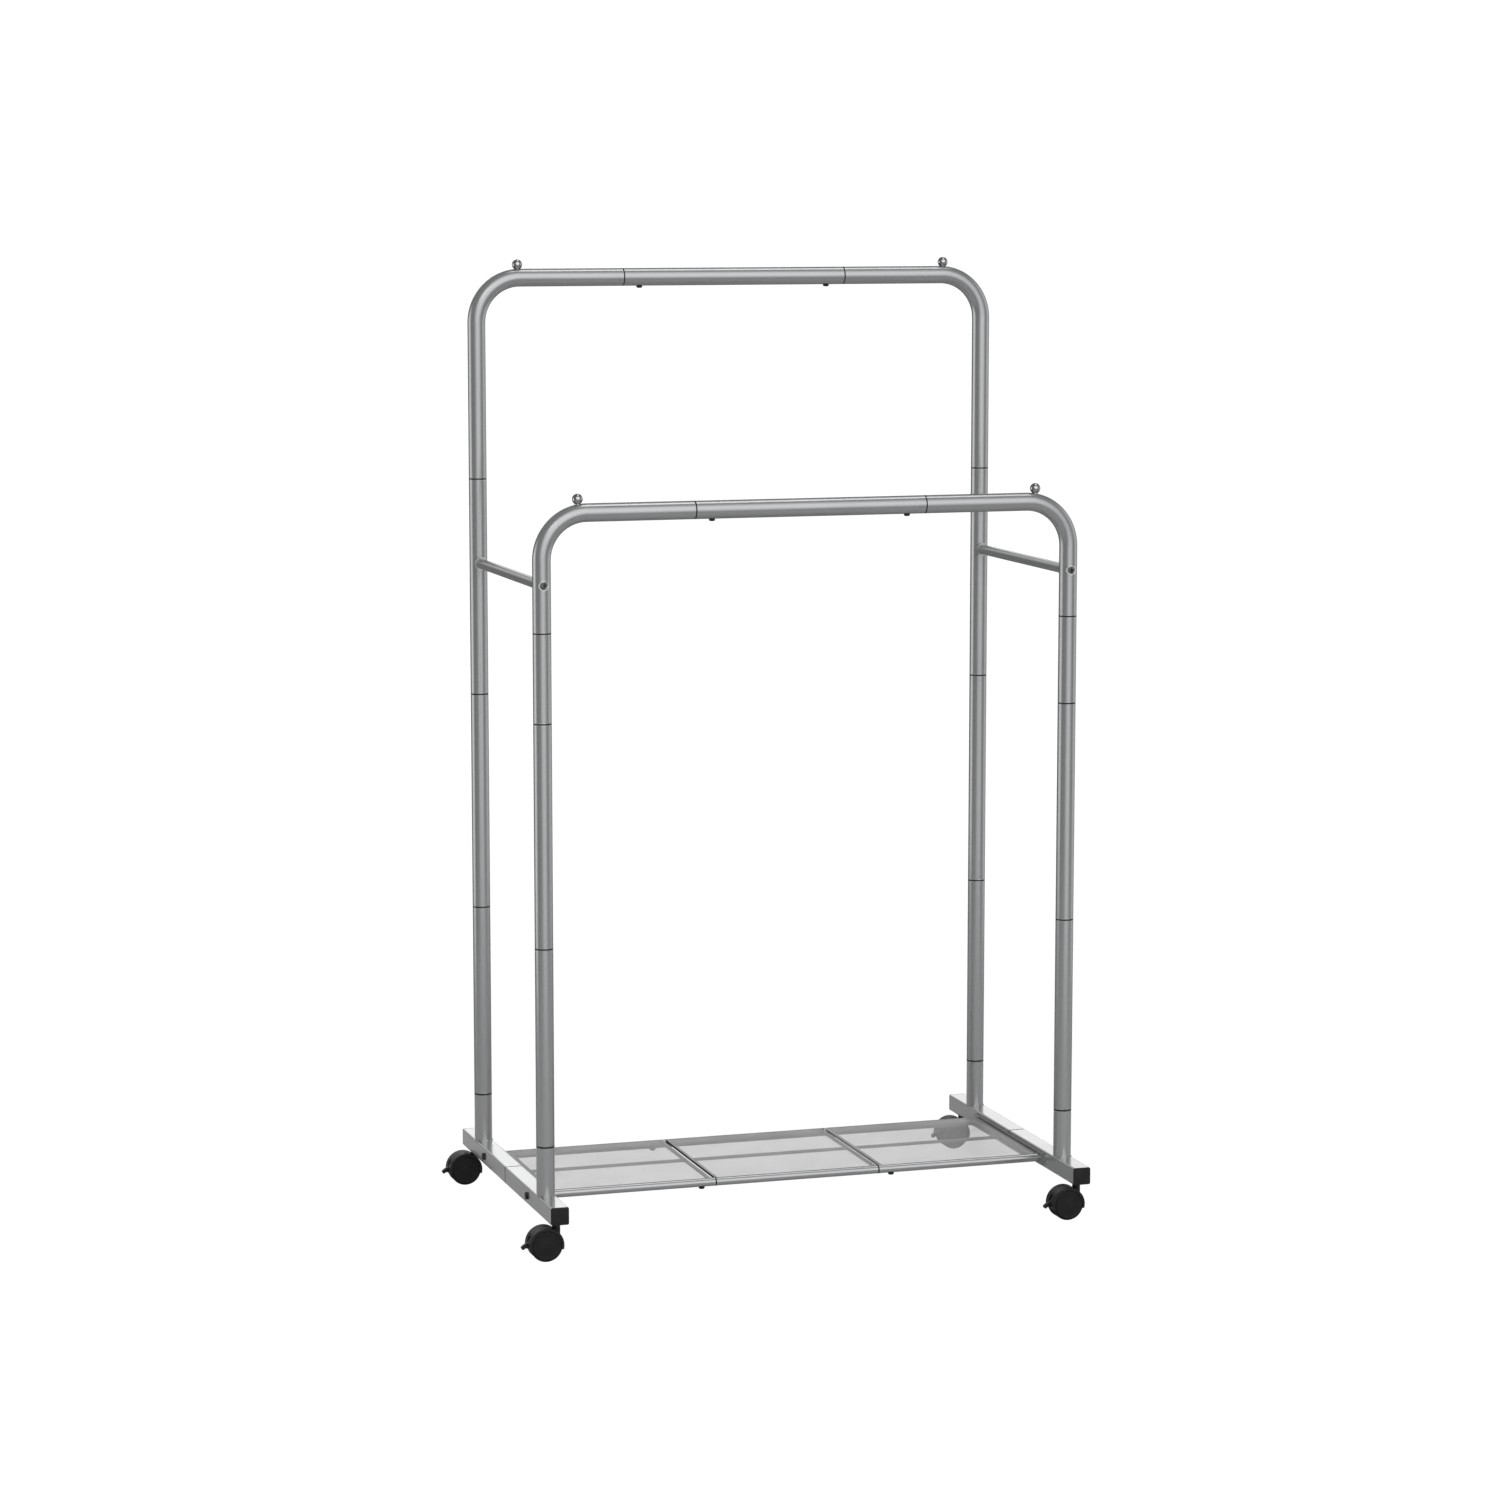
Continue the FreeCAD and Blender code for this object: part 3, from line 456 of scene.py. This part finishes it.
def cutWith(piece, cutter):
    modifier = piece.modifiers.new("recess", "BOOLEAN")
    modifier.operation = "DIFFERENCE"
    modifier.object = cutter
    modifier.solver = "EXACT"
    bpy.context.view_layer.objects.active = piece
    bpy.ops.object.modifier_apply(modifier="recess")
    dropMaster(cutter)


# shelf mesh: thin sheet steel cut to a fine square grid, so it is made of flat ribbons
gridSize = {"pitch": 2.75 * mm, "ribbon": 0.72 * mm, "thickness": 0.14 * mm, "bevel": 0.035 * mm,
            "lift": 0.05 * mm}


def flatRibbon(name, size, middle):
    ribbon = addBlock(name, middle, size)
    bpy.ops.object.mode_set(mode="EDIT")
    bpy.ops.mesh.select_all(action="SELECT")
    bpy.ops.mesh.bevel(offset=gridSize["bevel"], segments=1, affect="EDGES")
    bpy.ops.object.mode_set(mode="OBJECT")
    return ribbon


def makeMeshPanel(node, name):
    low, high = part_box(node)
    middle = (low + high) / 2
    ribbon, pitch, thick = gridSize["ribbon"], gridSize["pitch"], gridSize["thickness"]
    length, depth = high.x - low.x, high.y - low.y
    across = int((depth - ribbon) / pitch)
    along = int((length - ribbon) / pitch)
    firstY = middle.y - across * pitch / 2
    firstX = middle.x - along * pitch / 2
    level = low.z + thick / 2
    panel = flatRibbon(name, (length, ribbon, thick), (middle.x, firstY, level))
    repeatAlong(panel, across + 1, (0, pitch, 0))
    crossed = flatRibbon(name + "Cross", (ribbon, depth, thick),
                         (firstX, middle.y, level + gridSize["lift"]))
    repeatAlong(crossed, along + 1, (pitch, 0, 0))
    joinInto(panel, [crossed])
    settle(panel, meshEnamel)
    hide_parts(node)
    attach(panel, "rack")


for side in ("left", "middle", "right"):
    makeMeshPanel("shelf_mesh_" + side, "meshPanel" + side.capitalize())
print("shelf mesh made")


corners = [(end, side) for end in ("front", "rear") for side in ("left", "right")]

# polished balls near the bends, each with a short neck; the foot's height is from the ball's
# centre, and the lift is from the middle of the rail to that centre
finialSize = {"ball": 8.1, "neck": 4.4, "foot": -8.6, "lift": 20.4 * mm, "arcSteps": 24, "turnSteps": 48,
              "span": {"front": 0.366, "rear": 0.3555}}


def makeFinials():
    size = finialSize
    radius, arcSteps = size["ball"], size["arcSteps"]
    firstAngle = math.asin(size["neck"] / radius)
    outline = [(0, size["foot"]), (size["neck"], size["foot"])]
    for step in range(arcSteps + 1):
        angle = firstAngle + (math.pi - firstAngle) * step / arcSteps
        outline.append((max(radius * math.sin(angle), 0), -radius * math.cos(angle)))
    master = turnOutline("finialMaster", outline, size["turnSteps"])
    balls = []
    for end, side in corners:
        low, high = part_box(end + "_rail_bar")
        place = (low + high) / 2
        place.x = size["span"][end] * (1 if side == "right" else -1)
        place.z += size["lift"]
        balls.append(copyTo(master, "finial_" + end + "_" + side, place))
    dropMaster(master)
    finials = joinInto(balls[0], balls[1:])
    finials.name = finials.data.name = "ballFinials"
    settle(finials, chrome)
    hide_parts("rail_finials")
    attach(finials, "rack")


makeFinials()
print("finials turned")


# twin wheels: (radius, distance from the inner side), with a stepped rim and two fine grooves
wheelSize = {
    "turnSteps": 96,
    "outline": [
        (0, 9.9), (2.55, 9.9), (2.55, 0), (5.3, 0), (5.5, 0.2), (5.5, 7.2), (21.5, 7.2), (21.5, 0.7),
        (21.7, 0.5), (24.2, 0.5), (24.75, 0.8), (25, 1.4), (25, 3.2), (24.82, 3.35), (25, 3.5),
        (25, 5.3), (24.82, 5.45), (25, 5.6), (25, 7.0), (24.8, 7.6), (24.2, 8.1), (22.4, 8.3),
        (22.2, 8.5), (22.2, 9.9), (21.9, 10.6), (21.2, 11.05), (20.3, 11.2), (19.6, 11.15),
        (19.2, 10.95), (18.7, 10.9), (6, 10.75), (5.2, 10.95), (4.4, 11.0), (0, 11.0),
    ],
}


def makeWheels():
    master = turnOutline("wheelMaster", wheelSize["outline"], wheelSize["turnSteps"])
    for end, side in corners:
        for letter, turn in (("a", math.pi / 2), ("b", -math.pi / 2)):
            node = "caster_wheel_" + letter + "_" + end + "_" + side
            low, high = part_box(node)
            place = (low + high) / 2
            place.y = high.y if letter == "a" else low.y
            wheel = copyTo(master, "wheel_" + letter + "_" + end + "_" + side, place, (turn, 0, 0))
            settle(wheel, wheelNylon)
            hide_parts(node)
            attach(wheel, "wheel_" + letter + "_" + end + "_" + side)
    dropMaster(master)


makeWheels()
print("wheels turned")


# peg heads on the hoods, hammered into the back of each one, at an angle above the level
pegSize = {"radius": 1.25, "height": 0.5, "shank": 1.5, "turnSteps": 24, "fromAxle": 26.9 * mm, "angle": 37}


def makeHoodPegs():
    size = pegSize
    radius, height, shank = size["radius"], size["height"], size["shank"]
    outline = [(0, -shank), (radius, -shank), (radius, height * 0.5), (radius * 0.8, height),
               (radius * 0.3, height * 0.6), (0, height * 0.5)]
    master = turnOutline("pegMaster", outline, size["turnSteps"])
    angle = math.radians(size["angle"])
    for end, side in corners:
        low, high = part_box("caster_axle_" + end + "_" + side)
        place = (low + high) / 2
        place += Vector((-math.cos(angle), 0, math.sin(angle))) * size["fromAxle"]
        peg = copyTo(master, "hoodPeg_" + end + "_" + side, place, (0, angle - math.pi / 2, 0))
        settle(peg, capNylon)
        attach(peg, "swivel_" + end + "_" + side)
    dropMaster(master)


makeHoodPegs()
print("hood pegs set")


# screws under the rails: pan heads with a cross recess; sizes in millimetres
# pan is the head's outline in shares of its radius and height, and turn is in radians
screwSize = {
    "head": 4.8, "height": 3.5, "shank": 2.0, "length": 9.0, "slot": (4.6, 0.9, 2.0),
    "pan": [(0, 1), (0.5, 0.98), (0.76, 0.88), (0.93, 0.66), (1, 0.38), (1, 0.06), (0.96, 0)],
    "turnSteps": 40, "turn": 0.7, "shelfInset": 6.5,
}


def makeCrossScrews():
    size = screwSize
    head, height, shank = size["head"], size["height"], size["shank"]
    outline = [(head * across, -height * down) for across, down in size["pan"]]
    outline += [(shank, 0), (shank, size["length"]), (0, size["length"])]
    master = turnOutline("screwMaster", outline, size["turnSteps"])
    for turn in (0, math.pi / 2):
        slot = [length * mm for length in size["slot"]]
        cutWith(master, addBlock("screwSlot", (0, 0, -height * mm), slot, turn))
    smoothFaces(master)
    low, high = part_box("rail_screws")
    reach = high.x - head * mm
    shelfLow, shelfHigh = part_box("shelf_frame_middle")
    places = []
    for end in ("front", "rear"):
        barLow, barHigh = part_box(end + "_rail_bar")
        middleY = (barLow.y + barHigh.y) / 2
        shelfY = shelfHigh.y if end == "rear" else shelfLow.y
        shelfY -= math.copysign(size["shelfInset"] * mm, shelfY)
        for sign in (-1, 1):
            places.append((sign * reach, middleY, barLow.z))
            places.append((sign * reach, shelfY, low.z + height * mm))
    screws = [copyTo(master, "screw%d" % number, place, (0, 0, number * size["turn"]))
              for number, place in enumerate(places)]
    dropMaster(master)
    crossScrews = joinInto(screws[0], screws[1:])
    crossScrews.name = crossScrews.data.name = "crossScrews"
    settle(crossScrews, oxide)
    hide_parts("rail_screws")
    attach(crossScrews, "rack")


makeCrossScrews()
print("screws made")


# caps in the beam ends: rounded like the tube, with a softened face and a plug behind
capSize = {"depth": 2.5 * mm, "corner": 2.6 * mm, "edge": 0.8 * mm, "plug": 12 * mm,
           "plugCorner": 1.04 * mm, "wall": 1.4 * mm}


# bevels the edges whose two ends pass the test
def bevelEdges(block, isWanted, reach, segments):
    bpy.ops.object.mode_set(mode="EDIT")
    bpy.ops.mesh.select_mode(type="EDGE")
    bpy.ops.mesh.select_all(action="DESELECT")
    bpy.ops.object.mode_set(mode="OBJECT")
    for edge in block.data.edges:
        first, last = (block.data.vertices[i].co for i in edge.vertices)
        edge.select = isWanted(first, last)
    bpy.ops.object.mode_set(mode="EDIT")
    bpy.ops.mesh.bevel(offset=reach, segments=segments, affect="EDGES")
    bpy.ops.object.mode_set(mode="OBJECT")


# a block with its four edges along the beam rounded
def roundedBlock(name, low, high, corner):
    block = addBlock(name, (low + high) / 2, high - low)
    bevelEdges(block, lambda first, last: abs(first.y - last.y) > 1 * mm, corner, 5)
    return block


# softens the rim of the face at one place along the beam
def softenFace(block, levelY, reach):
    def isOnFace(first, last):
        return max(abs(first.y - levelY), abs(last.y - levelY)) < 0.01 * mm
    bevelEdges(block, isOnFace, reach, 3)


def makeCaps():
    size = capSize
    wall = size["wall"]
    caps = []
    for end, side in corners:
        low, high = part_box("base_beam_" + end + "_" + side)
        high.z = topOf("beam_end_caps")
        outward = -1 if end == "front" else 1
        mouth = low.y if end == "front" else high.y
        face = mouth + outward * size["depth"]
        faceLow = Vector((low.x, min(mouth, face), low.z))
        faceHigh = Vector((high.x, max(mouth, face), high.z))
        cap = roundedBlock("cap_" + end + "_" + side, faceLow, faceHigh, size["corner"])
        softenFace(cap, face, size["edge"])
        inner = mouth - outward * size["plug"]
        plugLow = Vector((low.x + wall, min(mouth, inner), low.z + wall))
        plugHigh = Vector((high.x - wall, max(mouth, inner), high.z - wall))
        plug = roundedBlock("plug", plugLow, plugHigh, size["plugCorner"])
        caps.append(joinInto(cap, [plug]))
    allCaps = joinInto(caps[0], caps[1:])
    allCaps.name = allCaps.data.name = "endCaps"
    settle(allCaps, capNylon)
    smoothFaces(allCaps, 40)
    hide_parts("beam_end_caps")
    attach(allCaps, "rack")


makeCaps()
print("end caps moulded")


# weld seams where the stubs of the uprights stand on the beams
weldSize = {"around": 14.3 * mm, "bead": 1.25 * mm, "turnSteps": 120, "beadSteps": 10,
            "ripple": 0.16 * mm, "ease": 0.5, "seed": 3}


def makeWelds():
    size = weldSize
    for number, (end, side) in enumerate(corners):
        low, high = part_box(end + "_lower_post_" + side)
        place = (low + high) / 2
        place.z = topOf("beam_end_caps")
        clearSelection()
        bpy.ops.mesh.primitive_torus_add(
            major_segments=size["turnSteps"], minor_segments=size["beadSteps"],
            major_radius=size["around"], minor_radius=size["bead"], location=place)
        weld = startPiece("weld_" + end + "_" + side)
        bpy.ops.object.mode_set(mode="EDIT")
        bpy.ops.mesh.select_all(action="SELECT")
        bpy.ops.transform.vertex_random(offset=size["ripple"], seed=size["seed"] + number)
        bpy.ops.mesh.vertices_smooth(factor=size["ease"], repeat=1)
        bpy.ops.object.mode_set(mode="OBJECT")
        settle(weld, beamEnamel)
        smoothFaces(weld, 60)
        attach(weld, "rack")


makeWelds()
print("welds laid")


# raised rims of the tie rod bolts' access holes, bent to the round of the tube, coloured near white as a
# painted highlight round each hole
rimSize = {"around": 6.9 * mm, "lip": 0.8 * mm, "turnSteps": 64, "lipSteps": 10, "tube": 14 * mm}


def makeRims():
    size = rimSize
    posts = {"front": "front_short_post_", "rear": "rear_upper_post_"}
    for end, side in corners:
        low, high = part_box(posts[end] + side)
        rodLow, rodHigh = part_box("tie_rod_" + side)
        outward = -1 if end == "front" else 1
        face = (low.y + high.y) / 2 + outward * size["tube"]
        middle = (low.x + high.x) / 2
        clearSelection()
        bpy.ops.mesh.primitive_torus_add(
            major_segments=size["turnSteps"], minor_segments=size["lipSteps"],
            major_radius=size["around"], minor_radius=size["lip"],
            location=(middle, face, (rodLow.z + rodHigh.z) / 2), rotation=(math.pi / 2, 0, 0))
        rim = startPiece("holeRim_" + end + "_" + side)
        # painted highlight: the rim gets the near white zinc
        settle(rim, rimHighlightZinc)
        for point in rim.data.vertices:
            sideways = point.co.x - middle
            sag = size["tube"] - math.sqrt(size["tube"] ** 2 - sideways ** 2)
            point.co.y -= outward * sag
        smoothFaces(rim, 60)
        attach(rim, "rack")


makeRims()
print("hole rims pressed")


# studio: white paper that only the camera sees, and soft lights that the metal reflects
# each light: degrees to the right of the camera, degrees up, bright core, soft edge, glow
studio = {
    "room": 0.24, "paper": 1.05, "paperShare": 0.96,
    "floor": (0.6, 0.6, 0.6, 1), "floorSize": 4.6, "floorGlow": 0.04, "floorRough": 0.9,
    "speck": (0.25, 0.25, 0.25, 1), "speckScale": 400, "speckShare": 0.1,
    "lights": {
        "key": (20, 24, 15, 48, 1.72),
        "leftStrip": (-98, -4, 11, 26, 1.5),
        "rightStrip": (118, 0, 20, 40, 0.8),
        "overhead": (145, 72, 6, 16, 3.0),
        "backWall": (180, 15, 6, 12, 1.35),
        "rodLight": (-158, 20, 8, 20, 0.9),
    },
}
lens = {
    "focal": 100, "sensor": 36, "place": (-1.9997, -6.1877, 1.6145),
    "yaw": 17.625, "pitch": 7.786, "reach": 100,
}
fillLight = {"place": (-2.2, -3.2, 3.4), "aim": (0, 0, 0.6), "length": 1.6, "width": 1.2, "power": 6}


def makeCamera():
    clearSelection()
    bpy.ops.object.camera_add(location=lens["place"], rotation=(
        math.radians(90 - lens["pitch"]), 0, math.radians(-lens["yaw"])))
    camera = bpy.context.object
    camera.name = "camera"
    camera.data.lens = lens["focal"]
    camera.data.sensor_width = lens["sensor"]
    camera.data.clip_end = lens["reach"]
    bpy.context.scene.camera = camera


def makeFloor():
    clearSelection()
    bpy.ops.mesh.primitive_plane_add(size=studio["floorSize"], location=(0, 0, 0))
    floor = startPiece("studioFloor")
    paint = Paint("palePaper", Roughness=studio["floorRough"], Emission_Strength=studio["floorGlow"],
                  Emission_Color=(1, 1, 1, 1))
    grain = paint.noise(studio["speckScale"], 2)
    color = paint.mixed(grain * studio["speckShare"], studio["floor"], studio["speck"])
    material = paint.feed(Base_Color=color)
    glow = paint.node("ShaderNodeEmission", None, {"Strength": studio["paper"]})
    seen = paint.node("ShaderNodeLightPath", outlet="Is Camera Ray")
    paper = Wire(paint, paint.shader.outputs[0])
    both = paint.node("ShaderNodeMixShader", None,
                      {0: seen * studio["paperShare"], 1: paper, 2: glow})
    output = paint.tree.nodes["Material Output"]
    paint.tree.links.new(both.socket, output.inputs["Surface"])
    floor.data.materials.append(material)


# the world and the nodes in it
class Backdrop(Paint):
    def __init__(self, name):
        self.world = bpy.data.worlds.new(name)
        self.world.use_nodes = True
        self.tree = self.world.node_tree
        self.tree.nodes.clear()
        self.place = self.node("ShaderNodeTexCoord", outlet="Generated")

    def facing(self, direction):
        return self.node("ShaderNodeVectorMath", {"operation": "DOT_PRODUCT"},
                         {0: self.place, 1: direction}, "Value")


def lightDirection(swing, rise):
    turn = math.radians(swing - lens["yaw"])
    climb = math.radians(rise)
    return Vector((math.sin(turn) * math.cos(climb), -math.cos(turn) * math.cos(climb), math.sin(climb)))


def makeWorld():
    backdrop = Backdrop("studioWorld")
    level = studio["room"]
    for swing, rise, core, edge, glow in studio["lights"].values():
        aim = backdrop.facing(lightDirection(swing, rise))
        level = level + glow * backdrop.ramp(aim, (math.cos(math.radians(edge)), 0),
                                             (math.cos(math.radians(core)), 1))
    seen = backdrop.node("ShaderNodeLightPath", outlet="Is Camera Ray")
    level = seen * studio["paper"] + (1 - seen) * level
    glow = backdrop.node("ShaderNodeBackground", None, {"Color": (1, 1, 1, 1), "Strength": level})
    output = backdrop.tree.nodes.new("ShaderNodeOutputWorld")
    backdrop.tree.links.new(glow.socket, output.inputs["Surface"])
    bpy.context.scene.world = backdrop.world


def addFillLight():
    clearSelection()
    bpy.ops.object.light_add(type="AREA", location=fillLight["place"])
    light = bpy.context.object
    light.name = "fillLight"
    aim = Vector(fillLight["aim"]) - Vector(fillLight["place"])
    light.rotation_euler = aim.to_track_quat("-Z", "Y").to_euler()
    light.data.shape = "RECTANGLE"
    light.data.size = fillLight["length"]
    light.data.size_y = fillLight["width"]
    light.data.energy = fillLight["power"]


makeCamera()
makeFloor()
makeWorld()
addFillLight()
bpy.context.scene.view_settings.view_transform = "Standard"
print("studio set")
